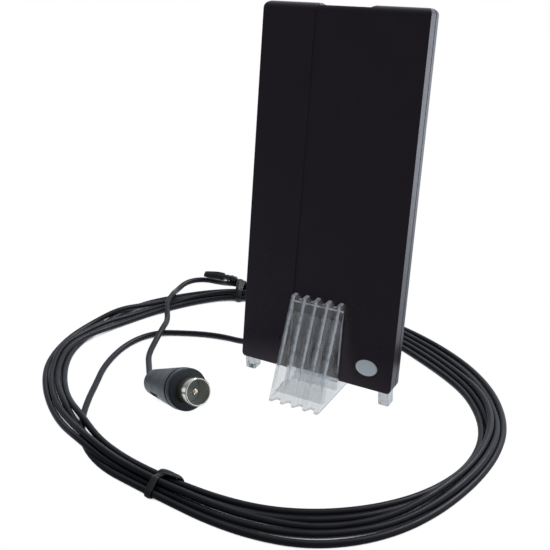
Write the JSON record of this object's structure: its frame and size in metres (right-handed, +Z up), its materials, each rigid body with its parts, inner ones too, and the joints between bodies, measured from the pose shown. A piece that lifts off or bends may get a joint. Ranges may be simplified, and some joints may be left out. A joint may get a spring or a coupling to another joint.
{
  "type": "indoor panel antenna",
  "caption": "Slim black indoor television antenna panel leaning in a clear ribbed stand, with a thin tied coil of coaxial lead that ends in a coaxial aerial plug",
  "frame": {"origin": "On the table at the underside of the clear stand, under the middle of the panel's lower front edge", "axes": "+X along the panel's width to the right as seen from the front, +Y to the back, +Z up; the panel faces -Y and leans back"},
  "size_m": [0.1776, 0.1385, 0.1287],
  "materials": {
    "panel_black": "satin black moulded plastic",
    "badge_silver": "bare silver-grey oval plate",
    "clear_plastic": "clear moulded plastic",
    "cable_black": "satin black cable jacket",
    "tie_black": "black coated wire tie",
    "grommet_black": "soft black moulding",
    "plug_black": "black moulded plug body",
    "plug_plate": "nickel plate",
    "insulator_dark": "dark insulating plastic",
    "board_green": "bare circuit board",
    "copper": "copper foil",
    "tinned_metal": "tinned metal",
    "ferrite": "dark ferrite"
  },
  "bodies": {
    "root": {"front_cover": "panel_black", "rear_cover": "panel_black", "badge_plate": "badge_silver", "circuit_board": "board_green", "radiator_foil": "copper", "balun_core": "ferrite", "solder_tag": "tinned_metal", "cable_grommet": "grommet_black", "cable_core": "cable_black", "stand": "clear_plastic", "left_foot": "clear_plastic", "right_foot": "clear_plastic", "cable_lead": "cable_black", "cable_coil": "cable_black", "cable_tail": "cable_black", "back_tie": "tie_black", "front_tie": "tie_black", "plug_body": "plug_black", "plug_shell": "plug_plate", "plug_insulator": "insulator_dark", "plug_pin": "plug_plate"}
  },
  "joints": []
}
